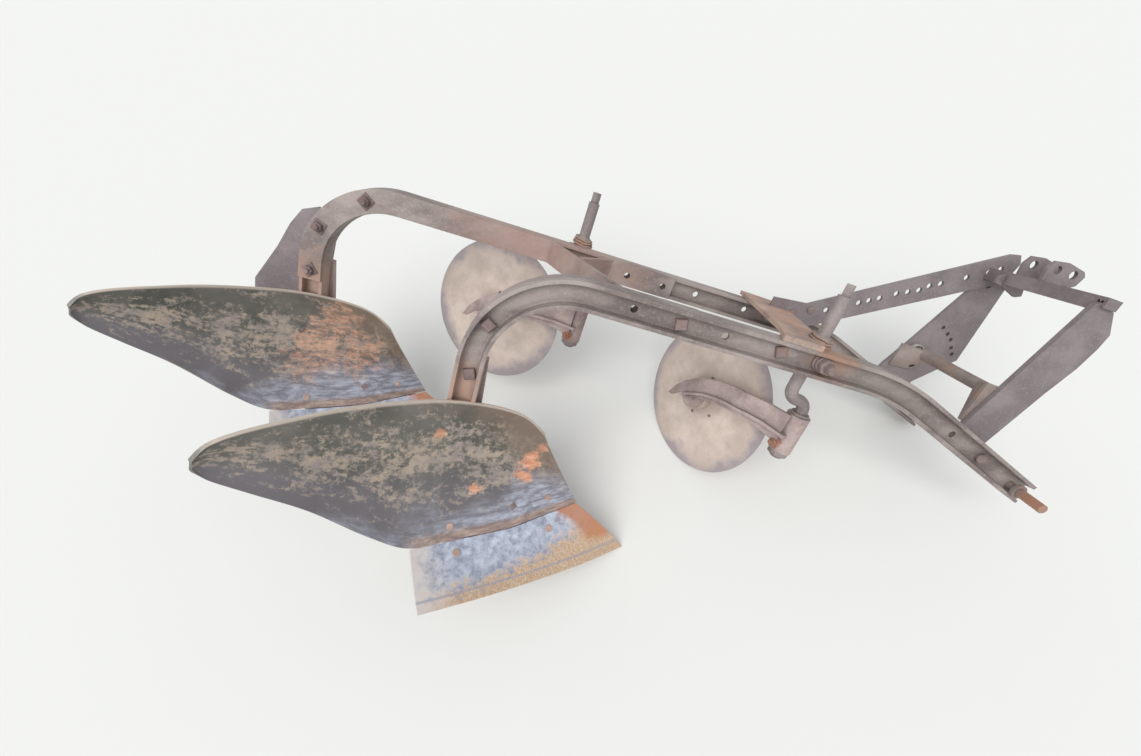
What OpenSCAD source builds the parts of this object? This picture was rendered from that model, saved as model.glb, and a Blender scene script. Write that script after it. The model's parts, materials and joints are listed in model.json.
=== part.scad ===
// Two-bottom moldboard plough for a three-point hitch, standing as it was parked:
// tipped forward on both share points and on the end of its left hitch pin.
// Working frame: +X forward, +Y left, +Z up, millimetres, ground at Z = 0.
// Every piece is drawn level, in the working frame, and place() sets it down tipped.

/* [Layout] */
// sideways distance between the two bottoms (width of one furrow)
furrow_w = 356; // [300:1:420]
// fore-and-aft distance between the two bottoms
stagger = 482; // [420:1:560]
// height of the beams' top face over the share edges
beam_top = 684; // [620:1:740]

/* [Beams] */
// depth of the rolled beam section
beam_d = 58; // [50:1:80]
// width of the beam flanges
beam_w = 50; // [40:1:60]
// thickness of the beam flanges at their edge
flange_t = 8; // [6:0.5:12]
// thickness of the beam web
web_t = 9; // [6:0.5:14]
// outer radius of the rear arch
arch_r = 227; // [180:1:280]
// height of the lower end of the goose-neck
neck_z = 262; // [230:1:320]
// where the beams start to bend down, measured forward of the front goose-neck
bend_x = 837; // [760:1:900]
// radius of the front bend
bend_r = 541; // [400:1:700]
// slope of the beam nose
nose_deg = 19; // [15:0.5:24]
// length of the straight nose
nose_len = 405; // [360:1:450]
// size of the plain holes along the beams
beam_hole = 16; // [12:1:20]

/* [Hitch] */
// diameter of the lower hitch pins
pin_d = 22; // [20:0.5:30]
// length of a hitch pin outside its beam
pin_len = 69; // [60:1:110]
// thickness of the mast plates
mast_t = 12; // [8:1:16]
// diameter of the top link holes
link_d = 20; // [18:0.5:26]
// clear width between the top link ears
link_gap = 50; // [40:1:60]
// diameter of the holes in the strap
strap_hole = 15; // [10:1:18]

/* [Bottoms] */
// thickness of the moldboards
mold_t = 7; // [5:0.5:10]
// thickness of the shares
share_t = 10; // [8:0.5:14]
// thickness of the landsides
land_t = 12; // [10:1:16]
// height of the landsides
land_h = 92; // [80:1:110]

/* [Coulters] */
// diameter of the coulter discs
disc_d = 432; // [380:1:460]
// thickness of the coulter discs
disc_t = 6; // [4:0.5:8]
// diameter of the coulter shanks
shank_d = 29; // [25:0.5:38]
// forward crank of the shanks below the beam
crank = 50; // [40:1:80]
// trail from the swivel axis to the disc axle
trail = 264; // [240:1:300]
// height of the disc axles over the share edges
axle_z = 398; // [380:1:420]
// how far the right coulter has swung to the left at rest
swing_right = 63; // [0:0.5:75]
// how far the left coulter has swung to the left at rest
swing_left = 25.5; // [0:0.5:60]
// running clearance of pins in their bores, on the radius
run_gap = 0.05; // [0.02:0.01:0.1]
// clearance between pieces that lie against each other
seat_gap = 0.3; // [0.1:0.1:0.5]

/* [Hidden] */
$fn = 48;

steel = [0.42, 0.37, 0.37];
rusty = [0.60, 0.38, 0.26];
blade = [0.36, 0.41, 0.47];
dusty = [0.70, 0.62, 0.52];

eps = 0.01;
half_w = beam_w / 2;
bottom_step = [-stagger, furrow_w, 0];
tip_pt = [531, 44, 0];

// nose of the beams: end of the bend and direction
bend_end = [bend_x + bend_r * sin(nose_deg), beam_top - bend_r * (1 - cos(nose_deg))];
nose_dir = [cos(nose_deg), -sin(nose_deg)];
nose_in = [-sin(nose_deg), -cos(nose_deg)];
function nose_pt(s, u) = bend_end + s * nose_dir + u * nose_in;
pin_c = nose_pt(nose_len - 34, beam_d / 2 + 5);

// tip about the line through both share points until the left pin end is down
line_len = norm(bottom_step);
ahead = [furrow_w / line_len, stagger / line_len];
pin_end = [pin_c[0], furrow_w + half_w + pin_len - 2, pin_c[1]];
reach = (pin_end[0] - tip_pt[0]) * ahead[0] + (pin_end[1] - tip_pt[1]) * ahead[1];
rise = pin_end[2];
tilt_a = atan2(rise, reach);
rim_a = pin_d / 2 * sqrt(1 - pow(ahead[1] * sin(tilt_a), 2));
tilt = tilt_a - asin(rim_a / norm([reach, rise]));
origin_shift = [-472.178, -301.597, 0];

module place() {
  translate(origin_shift)
    translate(tip_pt)
      rotate(a = tilt, v = bottom_step)
        translate(-tip_pt)
          children();
}

// rolled beam section and its sweeps
// first coordinate runs from the outer face inwards, second across the beam,
// and all faces can be set back by a hair
module section(back = 0) {
  w = half_w - back;
  v = web_t / 2 - back;
  a = flange_t - back;
  b = beam_d - flange_t + back;
  polygon([
    [back, -w], [back, w], [a, w], [a + 3, v + 3], [a + 6, v], [b - 6, v],
    [b - 3, v + 3], [b, w], [beam_d - back, w], [beam_d - back, -w], [b, -w],
    [b - 3, -v - 3], [b - 6, -v], [a + 6, -v], [a + 3, -v - 3], [a, -w]
  ]);
}

// turns a drawing in the XY plane into the XZ plane, extrusion towards -Y
module upright() {
  rotate([90, 0, 0]) children();
}

module section_arc(r, from, sweep) {
  upright()
    rotate([0, 0, from])
      rotate_extrude(angle = sweep, $fn = 72)
        translate([r, 0]) mirror([1, 0]) section();
}

// straight run of the section from a point in XZ, sloping down by deg
module section_run(p, deg, len, back = 0) {
  translate([p[0], 0, p[1]])
    rotate([0, deg, 0])
      rotate([0, 90, 0])
        linear_extrude(height = len) section(back);
}

module beam_at(back) {
  difference() {
    union() {
      translate([-back, 0, neck_z])
        linear_extrude(height = beam_top - arch_r - neck_z) section();
      translate([arch_r - back, 0, beam_top - arch_r]) section_arc(arch_r, 90, 90);
      section_run([arch_r - back, beam_top], 0, bend_x - arch_r + back);
      translate([bend_x, 0, beam_top - bend_r]) rotate([0, 0, 180])
        section_arc(bend_r, 90, nose_deg);
      // the nose is a hair thinner and starts inside the bend, so that the two join
      translate([bend_x, 0, beam_top - bend_r]) rotate([0, nose_deg, 0])
        section_run([-0.5, bend_r], 0, nose_len + 0.5, 0.05);
    }
    // the near flange corner is dressed back where the moldboard passes
    translate([-back, 0, neck_z - 1]) linear_extrude(height = 367 - neck_z)
      polygon([[60, -0.2], [70, -0.2], [70, -30], [-1, -30]]);
    children();
  }
}

// hole along Y at a point in XZ
module cross_hole(p, d, y0 = -40, len = 80) {
  translate([p[0], y0, p[1]]) rotate([-90, 0, 0]) cylinder(d = d, h = len);
}

// holes through the beam webs: [forward, height]
web_mid = beam_top - beam_d / 2;
right_holes = [[317, web_mid], [518, web_mid], [418, web_mid]];
left_holes = [[552, web_mid], [701, web_mid], [346, web_mid], [447, web_mid]];
nose_hole = nose_pt(nose_len - 278, beam_d / 2);
mast_s = nose_len - 168;
mast_bolt = nose_pt(mast_s, beam_d / 2);

module beam_right() {
  color(steel) place() beam_at(0) {
    for (h = right_holes) cross_hole(h, beam_hole);
    cross_hole(nose_hole, beam_hole);
    cross_hole(mast_bolt, beam_hole);
    cross_hole(pin_c, pin_d);
  }
}

module beam_left() {
  color(steel) place() translate([0, furrow_w, 0]) beam_at(stagger) {
    for (h = left_holes) cross_hole(h, beam_hole);
    cross_hole(nose_hole, beam_hole);
    cross_hole(mast_bolt, beam_hole);
    cross_hole(pin_c, pin_d);
  }
}

// where the coulter stems stand
shank_y = half_w + 21;
shank_right = [745, shank_y, 0];
shank_left = [214, furrow_w + shank_y, 0];

// pieces that tie the two beams together
plate_t = 10;

module cross_plate() {
  color(rusty) place() {
    // stops short of the strap and leaves room for the right stem
    difference() {
      translate([0, 0, beam_top + seat_gap]) linear_extrude(height = plate_t)
        polygon([[628, -half_w + 9], [716, -half_w + 9], [758, 40], [766, 102],
          [802, strap_y - strap_t - 2], [738, strap_y - strap_t - 2], [738, left_face + 1],
          [812, left_face + 1],
          [820, furrow_w + half_w + 14], [697, furrow_w + half_w + 34], [657, 67]]);
      translate([shank_right[0], shank_right[1], beam_top - 10])
        cylinder(r = shank_d / 2 + 13, h = 40);
    }
    translate([624, -half_w + 1, beam_top + seat_gap]) cube([92, 8.01, plate_t + 3]);
  }
}

bar_t = 10;
bar_h = 56;
bar_z = beam_top - beam_d / 2 - bar_h / 2;
left_face = furrow_w - half_w - seat_gap;
right_face = half_w + seat_gap;
tie_bend = [132, left_face - bar_t];
tie_foot = [282, right_face];

// corner of a bent flat bar: where the far sides of two runs meet
function run_angle(p, q) = atan2(q[1] - p[1], q[0] - p[0]);
function side_pt(p, a, b, t) = p + t / cos((b - a) / 2)
  * [-sin((a + b) / 2), cos((a + b) / 2)];

// flat bar standing on edge, bent in plan along a path, its thickness to the left
module standing_bar(path, t = bar_t, h = bar_h, z = bar_z) {
  n = len(path);
  dirs = [for (i = [0:n - 2]) run_angle(path[i], path[i + 1])];
  far = [for (i = [0:n - 1])
    side_pt(path[i], dirs[max(0, i - 1)], dirs[min(n - 2, i)], t)];
  translate([0, 0, z]) linear_extrude(height = h)
    polygon(concat(path, [for (i = [n - 1:-1:0]) far[i]]));
}

module tie_bar() {
  color(steel) place() difference() {
    union() {
      // along the arch of the left beam and down its goose-neck
      translate([arch_r - stagger, left_face, beam_top - arch_r]) upright()
        rotate([0, 0, 90]) rotate_extrude(angle = 90, $fn = 72)
          translate([arch_r - beam_d + 1, 0]) square([bar_h, bar_t]);
      translate([-stagger + 1, left_face - bar_t, 405])
        cube([bar_h, bar_t, beam_top - arch_r - 405]);
      // along the beam, diagonally to the right beam, and its foot
      standing_bar([[arch_r - stagger, tie_bend[1]], tie_bend, tie_foot,
        [tie_foot[0] + 172, tie_foot[1]]]);
    }
    for (b = tie_bolts) cross_hole(b, 14, left_face - 30, 60);
    for (x = [317, 418]) cross_hole([x, web_mid], beam_hole, 0, 60);
  }
}
tie_bolts = [[151 - stagger, 641], [45 - stagger, 548], [29 - stagger, 431]];

module spacer_bracket() {
  color(steel) place() difference() {
    union() {
      standing_bar([[212, 214], [297, left_face - bar_t], [474, left_face - bar_t]]);
    }
    for (x = [346, 447]) cross_hole([x, web_mid], beam_hole, left_face - 30, 60);
  }
}

// mast
bar_l = [1205, 694];
up_r = [1258, 946];
mast_right_out = [nose_pt(mast_s - 74, 40), nose_pt(mast_s + 16, 44), [1256, 594],
  [1294, 730], [1318, 802], [1327, 853], [1328, 888], [1297, 930],
  [up_r[0] + 8, up_r[1]], [up_r[0] - 12, up_r[1] - 10], [bar_l[0] - 36, bar_l[1] - 79]];

module mast_right() {
  color(steel) place() difference() {
    translate([0, right_face + mast_t, 0]) upright()
      linear_extrude(height = mast_t) polygon(mast_right_out);
    cross_hole(mast_bolt, beam_hole, 0, 60);
  }
}

mast_left_out = [nose_pt(mast_s - 94, 40), nose_pt(mast_s + 26, 44), [1262, 604],
  [1349, 700], [1341, 925], [1310, 962], [1252, 888], [bar_l[0] - 27, bar_l[1] + 3],
  [bar_l[0] - 55, bar_l[1] - 62]];
arc_holes = [[1248, 775], [1272, 762], [1291, 750], [1308, 729], [1322, 713]];
mast_left_y = left_face - mast_t;

module mast_left() {
  color(steel) place() difference() {
    translate([0, left_face, 0]) upright()
      linear_extrude(height = mast_t) polygon(mast_left_out);
    for (h = arc_holes) cross_hole(h, 11, mast_left_y - 10, 60);
    cross_hole(bar_l + [5, -41], 13, mast_left_y - 10, 60);
    cross_hole(mast_bolt, beam_hole, mast_left_y - 10, 60);
    cross_hole([1291, 912], strap_hole, mast_left_y - 10, 60);
  }
}

// perforated strap: lies along the left beam and rises to the mast top
strap_out = [[745, 652], [842, 652], [1316, 930], [1326, 984], [1312, 1004], [1288, 999],
  [840, 727], [745, 718]];
strap_holes = [[898, 725], [919, 742], [973, 769], [996, 783], [1020, 797], [1057, 821],
  [1084, 834], [1110, 847], [1130, 865], [1156, 879], [1212, 913], [1260, 942], [1285, 958]];
strap_y = mast_left_y - seat_gap;
strap_t = 8;

module strap() {
  color(steel) place() difference() {
    union() {
      translate([0, strap_y, 0]) upright()
        linear_extrude(height = strap_t) polygon(strap_out);
      translate([748, strap_y - eps, 653]) cube([92, mast_t + seat_gap, 28]);
    }
    for (h = strap_holes) cross_hole(h, strap_hole, strap_y - 20, 30);
  }
}

module lower_cross_bar() {
  y0 = right_face + mast_t + seat_gap;
  y1 = mast_left_y - seat_gap;
  color(rusty) place() {
    translate([bar_l[0], y0 + 40, bar_l[1]]) rotate([-90, 0, 0])
      cylinder(d = 30, h = y1 - y0 - 80);
    // each end is forged flat against its mast plate
    hull() {
      translate([bar_l[0], y0 + 46, bar_l[1]]) rotate([-90, 0, 0]) cylinder(d = 26, h = 4);
      translate([bar_l[0] - 40, y0, bar_l[1] - 82]) cube([34, 8, 100]);
    }
    difference() {
      hull() {
        translate([bar_l[0], y1 - 50, bar_l[1]])
          rotate([-90, 0, 0]) cylinder(d = 26, h = 4);
        translate([bar_l[0] - 44, y1 - 8, bar_l[1] - 58]) cube([60, 8, 66]);
      }
      cross_hole(bar_l + [5, -41], 13, y1 - 60, 80);
    }
  }
}

// angle iron on the mast tops: narrow flat on top, leg down at the rear, lip over the right plate
module upper_cross_bar() {
  y0 = right_face - 8;
  y1 = strap_y - strap_t - seat_gap;
  color(steel) place() {
    translate([up_r[0] - 3, y0, up_r[1] + seat_gap]) cube([19, y1 - y0, 8]);
    translate([up_r[0] - 3, right_face + mast_t + seat_gap, up_r[1] - 22])
      cube([8, y1 - right_face - mast_t - seat_gap, 23]);
    translate([up_r[0] - 2, y0, up_r[1] - 14]) cube([32, 7.7, 22]);
    // tongue that hangs near the left end
    translate([up_r[0], 262, 0]) upright() linear_extrude(height = 8)
      polygon([[-20, up_r[1] - 8], [-2, up_r[1] + 3], [15, up_r[1] + 3], [62, up_r[1] - 13],
        [70, up_r[1] - 35], [54, up_r[1] - 42], [30, up_r[1] - 35], [6, up_r[1] - 27],
        [-20, up_r[1] - 24]]);
  }
}

ear_near = 169;
ear_t = 9;
link_holes = [[up_r[0] + 17, up_r[1] + 39], [up_r[0] + 62, up_r[1] + 40]];
module top_link_ears() {
  color(steel) place() difference() {
    for (s = [0, 1])
      translate([up_r[0], ear_near + ear_t + s * (link_gap + ear_t), up_r[1]]) upright()
        linear_extrude(height = ear_t)
          polygon([[-3, 8.6], [68, 8.6], [86, 20], [92, 44], [82, 54], [34, 61], [2, 56],
            [-8, 36]]);
    for (h = link_holes) cross_hole(h, link_d, ear_near - 30, 2 * ear_t + link_gap + 60);
  }
}

// hitch pins
module hitch_pin(y_in, side) {
  translate([pin_c[0], y_in, pin_c[1]]) rotate([-90 * side, 0, 0]) {
    cylinder(d = pin_d - 2 * seat_gap, h = half_w + 1);
    translate([0, 0, half_w + seat_gap]) cylinder(d = pin_d + 14, h = 8);
    translate([0, 0, half_w]) cylinder(d = pin_d, h = pin_len - 2);
    translate([0, 0, half_w + pin_len - 2]) cylinder(d1 = pin_d, d2 = pin_d - 4, h = 2);
  }
}

module hitch_pin_right() {
  color(rusty) place() hitch_pin(0, -1);
}

module hitch_pin_left() {
  color(rusty) place() hitch_pin(furrow_w, 1);
}

// side plate of the frogs fills the space between the goose-neck and the landside
frog_t = 44 - half_w - 2 * seat_gap;

module tail_bracket() {
  color(steel) place()
    translate([-stagger, furrow_w + half_w + 2 * seat_gap + frog_t + 12, 0]) upright()
      linear_extrude(height = 12)
        polygon([[-150, 300], [-150, 337], [-94, 442], [-63, 514], [-35, 559], [4, 576],
          [44, 566], [56, 540], [46, 420], [10, 350], [-60, 290], [-120, 276]]);
}

// bottoms: shares and moldboards as lofts through a short table
// joint line between share and moldboard, from the landside to the wing
joint_line = [[363, 35, 119], [276, -18, 96], [207, -60, 79], [93, -112, 62], [7, -161, 60]];
edge_line = [[531, 44, 1.8], [427, -36, 1.8], [313, -113, 1.8], [186, -192, 1.8],
  [61, -263, 1.8]];
// moldboard stations: lower edge point, upper edge point, hollow of the face
mold_low = concat(joint_line, [[-71, -188, 97], [-174, -225, 172], [-259, -258, 220],
  [-310, -282, 254], [-324, -296, 282]]);
mold_up = [[229, 35, 292], [176, 30, 330], [102, 8, 350], [8, -34, 361], [-79, -88, 361],
  [-159, -150, 358], [-225, -208, 349], [-276, -256, 339], [-306, -284, 325],
  [-322, -298, 300]];
mold_hollow = [8, 8, 9, 12, 16, 18, 16, 12, 7, 2];
share_hollow = [-9, -2, 2, 2, 2];

function at(l, i) = l[max(0, min(len(l) - 1, i))];
function spline(l, u) =
  let (i = min(floor(u), len(l) - 2), t = u - i,
    a = at(l, i - 1), b = at(l, i), c = at(l, i + 1), d = at(l, i + 2))
  0.5 * ((2 * b) + (c - a) * t + (2 * a - 5 * b + 4 * c - d) * t * t
    + (3 * b - a - 3 * c + d) * t * t * t);
function unit(v) = v / norm(v);
// chord between the edges, pushed back along the station's own normal
function face_pt(low, up, hol, u, v) =
  let (a = spline(low, u), b = spline(up, u),
    along = spline(low, min(u + 0.1, len(low) - 1)) - spline(low, max(u - 0.1, 0)),
    n = unit(cross(b - a + [0, 0, 0.001], along)))
  a + v * (b - a) - n * 4 * v * (1 - v) * spline(hol, u);

module loft(low, up, hol, nu, nv, t0, t1) {
  last = len(low) - 1;
  front = [for (i = [0:nu]) [for (j = [0:nv]) face_pt(low, up, hol, last * i / nu, j / nv)]];
  norms = [for (i = [0:nu]) [for (j = [0:nv])
    let (p = front[min(i + 1, nu)][j] - front[max(i - 1, 0)][j],
      q = front[i][min(j + 1, nv)] - front[i][max(j - 1, 0)]) unit(cross(q, p))]];
  back = [for (i = [0:nu]) [for (j = [0:nv])
    front[i][j] - norms[i][j] * (t0 + (t1 - t0) * min(1, j / nv * 2.5))]];
  m = (nu + 1) * (nv + 1);
  w = nv + 1;
  polyhedron(
    points = concat([for (r = front) for (p = r) p], [for (r = back) for (p = r) p]),
    faces = concat(
      [for (i = [0:nu - 1]) for (j = [0:nv - 1]) [i * w + j, i * w + j + 1, (i + 1) * w + j]],
      [for (i = [0:nu - 1]) for (j = [0:nv - 1])
        [i * w + j + 1, (i + 1) * w + j + 1, (i + 1) * w + j]],
      [for (i = [0:nu - 1]) for (j = [0:nv - 1])
        [m + i * w + j, m + (i + 1) * w + j, m + i * w + j + 1]],
      [for (i = [0:nu - 1]) for (j = [0:nv - 1])
        [m + i * w + j + 1, m + (i + 1) * w + j, m + (i + 1) * w + j + 1]],
      [for (i = [0:nu - 1]) [i * w, (i + 1) * w, m + i * w]],
      [for (i = [0:nu - 1]) [(i + 1) * w, m + (i + 1) * w, m + i * w]],
      [for (i = [0:nu - 1]) [i * w + nv, m + i * w + nv, (i + 1) * w + nv]],
      [for (i = [0:nu - 1]) [(i + 1) * w + nv, m + i * w + nv, m + (i + 1) * w + nv]],
      [for (j = [0:nv - 1]) [j, m + j, j + 1]],
      [for (j = [0:nv - 1]) [j + 1, m + j, m + j + 1]],
      [for (j = [0:nv - 1]) [nu * w + j, nu * w + j + 1, m + nu * w + j]],
      [for (j = [0:nv - 1]) [nu * w + j + 1, m + nu * w + j + 1, m + nu * w + j]]
    ));
}

module moldboard_at(i) {
  translate(i * bottom_step)
    translate([0, 0, 3.15]) loft(mold_low, mold_up, mold_hollow, 27, 8, mold_t, mold_t);
}

module share_at(i) {
  translate(i * bottom_step)
    loft(edge_line, joint_line, share_hollow, 12, 5, 2, share_t);
}

module moldboard_right() {
  color(blade) place() moldboard_at(0);
}

module moldboard_left() {
  color(blade) place() moldboard_at(1);
}

module share_right() {
  color(blade) place() share_at(0);
}

module share_left() {
  color(blade) place() share_at(1);
}

// cast frog: side plate beside the goose-neck with a foot behind share and moldboard
module frog_at(i) {
  translate(i * bottom_step) {
    translate([0, half_w + seat_gap + frog_t, 0]) upright()
      linear_extrude(height = frog_t)
        polygon([[-34, 14], [330, 14], [330, 60], [286, 110], [226, 170], [176, 230],
          [120, 290], [70, 330], [62, 450], [0, 450], [-8, 300], [-34, 120]]);
    translate([-6, -half_w, neck_z - 62]) cube([70, 2 * half_w + 1, 60]);
    hull() {
      translate([60, -80, 12]) cube([60, 60, 26]);
      translate([120, 0, 20]) cube([120, 28, 60]);
    }
    hull() {
      translate([-4, -20, neck_z - 60]) cube([60, 40, 40]);
      translate([60, -40, 30]) cube([60, 60, 20]);
    }
  }
}

module frog_right() {
  color(steel) place() frog_at(0);
}

module frog_left() {
  color(steel) place() frog_at(1);
}

module landside_at(i) {
  translate(i * bottom_step)
    translate([0, 44 + land_t, 0]) upright()
      linear_extrude(height = land_t)
        polygon([[-70, 2], [452, 2], [380, land_h], [-50, land_h], [-70, land_h - 20]]);
}

module landside_right() {
  color(steel) place() landside_at(0);
}

module landside_left() {
  color(steel) place() landside_at(1);
}

// coulters: clamp, cranked shank, arm that swings, disc that turns
bend_top = 572;
stem_top = 796;
shank_bend = crank / 2;
hub_top = 512;
hub_h = 100;
hub_r = 27;

module shank() {
  translate([0, 0, bend_top]) cylinder(d = shank_d, h = stem_top - bend_top);
  translate([0, 0, stem_top]) cylinder(d = shank_d - 7, h = 26, $fn = 4);
  translate([shank_bend, 0, bend_top]) upright() rotate([0, 0, 180])
    rotate_extrude(angle = 90) translate([shank_bend, 0]) circle(d = shank_d);
  translate([shank_bend, 0, bend_top - crank]) upright()
    rotate_extrude(angle = 90) translate([shank_bend, 0]) circle(d = shank_d);
  translate([crank, 0, hub_top - hub_h - 20])
    cylinder(d = shank_d, h = bend_top - crank - hub_top + hub_h + 20);
  translate([crank, 0, hub_top + 0.5]) cylinder(d = shank_d + 12, h = 6);
  translate([crank, 0, hub_top - hub_h - 12.5]) cylinder(d = shank_d + 18, h = 12);
}

module clamp() {
  difference() {
    union() {
      translate([0, 0, beam_top - beam_d - 6]) cylinder(r = shank_d / 2 + 6, h = beam_d + 10);
      translate([0, 0, beam_top + 4])
        cylinder(r1 = shank_d / 2 + 10, r2 = shank_d / 2 + 3, h = 18);
      translate([-34, -shank_y + half_w + seat_gap, beam_top - beam_d])
        cube([60, 14, beam_d]);
    }
    translate([0, 0, beam_top - beam_d - 20]) cylinder(d = shank_d + 0.2, h = 130);
  }
}

module shank_right() {
  color(steel) place() translate(shank_right) shank();
}

module shank_left() {
  color(steel) place() translate(shank_left) shank();
}

module clamp_right() {
  color(steel) place() translate(shank_right) clamp();
}

module clamp_left() {
  color(steel) place() translate(shank_left) clamp();
}

// arm in its own frame: swivel axis at the origin, disc trailing to -X
arm_y = -56;
arm_t = 12;
axle_d = 24;
// plan of the deep plate, from its tip to the sleeve, and its edges in side view
arm_path = [[-350, arm_y], [-112, arm_y], [-52, -30], [12, -21]];
arm_upper = [[0, 510], [-31, 508], [-83, 507], [-135, 502], [-188, 490], [-235, 473],
  [-270, 453], [-298, 430], [-322, 402], [-339, 368]];
arm_lower = [[-326, 368], [-300, 392], [-262, 402], [-225, 414], [-180, 430], [-130, 440],
  [-60, 440], [0, 432]];
bead_upper = [[14, 462], [-40, 463], [-83, 463], [-135, 458], [-180, 448], [-222, 433],
  [-255, 416], [-285, 397]];

module arm_blank(t) {
  n = len(arm_path);
  dirs = [for (i = [0:n - 2]) run_angle(arm_path[i], arm_path[i + 1])];
  far = [for (i = [0:n - 1])
    side_pt(arm_path[i], dirs[max(0, i - 1)], dirs[min(n - 2, i)], -t)];
  translate([0, 0, 340]) linear_extrude(height = 200)
    polygon(concat([for (i = [n - 1:-1:0]) arm_path[i]], far));
}

module arm() {
  difference() {
    union() {
      translate([0, 0, hub_top - hub_h]) cylinder(r = hub_r, h = hub_h);
      intersection() {
        arm_blank(arm_t);
        translate([0, 20, 0]) upright() linear_extrude(height = 120)
          polygon(concat(arm_upper, arm_lower));
      }
      // bead that stands out along the lower side of the plate
      intersection() {
        arm_blank(arm_t + 9);
        translate([0, 20, 0]) upright() linear_extrude(height = 120)
          polygon(concat(bead_upper, [for (i = [len(bead_upper) - 1:-1:0])
            bead_upper[i] - [0, 8]]));
      }
      // boss and axle
      translate([-trail, arm_y - 4, axle_z]) rotate([-90, 0, 0]) cylinder(r = 32, h = 19);
      translate([-trail, arm_y - 6, axle_z]) rotate([-90, 0, 0])
        cylinder(d = axle_d, h = 97 - arm_y - 56 + 6);
      translate([-trail, 33, axle_z]) rotate([-90, 0, 0]) cylinder(d = axle_d + 14, h = 8);
    }
    translate([0, 0, hub_top - hub_h - 1])
      cylinder(d = shank_d + 2 * run_gap, h = hub_h + 2);
  }
}

module disc() {
  translate([-trail, 0, axle_z]) rotate([-90, 0, 0]) difference() {
    rotate_extrude($fn = 96) polygon([
      [axle_d / 2 + run_gap, -40], [34, -40], [36, -34], [36, -12], [62, -disc_t / 2],
      [disc_d / 2 - 26, -disc_t / 2], [disc_d / 2, -0.6], [disc_d / 2, 0.6],
      [disc_d / 2 - 26, disc_t / 2], [62, disc_t / 2], [36, 12], [34, 32],
      [axle_d / 2 + run_gap, 32]]);
  }
}

module swung(at_pt, deg) {
  translate(at_pt + [crank, 0, 0]) rotate([0, 0, -deg]) children();
}

module coulter_arm_right() {
  color(steel) place() swung(shank_right, swing_right) arm();
}

module coulter_arm_left() {
  color(steel) place() swung(shank_left, swing_left) arm();
}

module coulter_disc_right() {
  color(dusty) place() swung(shank_right, swing_right) disc();
}

module coulter_disc_left() {
  color(dusty) place() swung(shank_left, swing_left) disc();
}

beam_right();
beam_left();
cross_plate();
tie_bar();
spacer_bracket();
mast_right();
mast_left();
strap();
lower_cross_bar();
upper_cross_bar();
top_link_ears();
hitch_pin_right();
hitch_pin_left();
tail_bracket();
share_right();
share_left();
moldboard_right();
moldboard_left();
frog_right();
frog_left();
landside_right();
landside_left();
shank_right();
shank_left();
clamp_right();
clamp_left();
coulter_arm_right();
coulter_arm_left();
coulter_disc_right();
coulter_disc_left();
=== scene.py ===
# %% [markdown]
# # A two-bottom moldboard plough, parked on its share points
#
# This lesson dresses a finished solid model. Every solid already has its size and its place, so
# the work here is finish: old steel with rust, dust and bright worn edges, and the small
# fasteners that are too many to draw as solids. The first cell loads the solids.

# %% Load the solids
import json
import math

import bmesh
import bpy
from mathutils import Matrix, Vector, noise
from mathutils.bvhtree import BVHTree


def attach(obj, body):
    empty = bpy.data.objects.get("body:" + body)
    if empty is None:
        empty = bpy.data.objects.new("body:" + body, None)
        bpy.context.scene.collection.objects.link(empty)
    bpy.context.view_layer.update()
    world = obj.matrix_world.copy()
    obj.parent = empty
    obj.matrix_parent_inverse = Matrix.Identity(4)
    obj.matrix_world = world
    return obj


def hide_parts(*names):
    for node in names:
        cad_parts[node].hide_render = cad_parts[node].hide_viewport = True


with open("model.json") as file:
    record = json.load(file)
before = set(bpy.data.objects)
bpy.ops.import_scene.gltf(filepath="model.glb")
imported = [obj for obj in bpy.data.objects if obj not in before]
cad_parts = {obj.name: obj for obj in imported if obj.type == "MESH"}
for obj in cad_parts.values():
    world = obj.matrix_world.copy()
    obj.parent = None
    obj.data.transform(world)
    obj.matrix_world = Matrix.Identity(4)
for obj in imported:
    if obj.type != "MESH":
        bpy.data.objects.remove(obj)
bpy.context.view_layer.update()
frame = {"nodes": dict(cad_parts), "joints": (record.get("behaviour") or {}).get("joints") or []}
nodes = frame["nodes"]
scene = bpy.context.scene
MM = 0.001

# %% [markdown]
# ## From the drawing to the yard
#
# The solids were drawn level, as the plough works in the ground, and then tipped forward until
# the left hitch pin rests on the floor. Sizes taken from the drawing are level millimetres, so
# one function takes such a point to its place in the scene. It is the same turn that set the
# solids down, and everything added below goes through it.

# %% Level drawing to parked plough
TIP_POINT = Vector((531, 44, 0))
BOTTOM_STEP = Vector((-482, 356, 0))  # from the right bottom to the left one
TILT = Matrix.Rotation(math.radians(31.067612), 3, BOTTOM_STEP.normalized())
SHIFT = Vector((-472.178, -301.597, 0))


def parked(point):
    """A level point in millimetres, as a place in the scene in metres."""
    return (TILT @ (Vector(point) - TIP_POINT) + TIP_POINT + SHIFT) * MM


def turned(direction):
    """A level direction, turned with the plough."""
    return TILT @ Vector(direction)


print("right share point at", parked(TIP_POINT))

# %% [markdown]
# ## Camera
#
# The picture was taken by someone standing close on the plough's right side with a short lens,
# which is why the near bottom looks so much larger than the far one. The place and the three
# directions come from a fit of the drawing to the picture.

# %% Camera
PICTURE_WIDTH = 1141
FOCAL_LENGTH = 456.796  # in pixels of that picture
EYE = (103.8798, -883.2703, 872.2727)  # in level millimetres


def put_in_scene(name, data):
    """A new object in the scene."""
    new = bpy.data.objects.new(name, data)
    scene.collection.objects.link(new)
    return new


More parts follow.
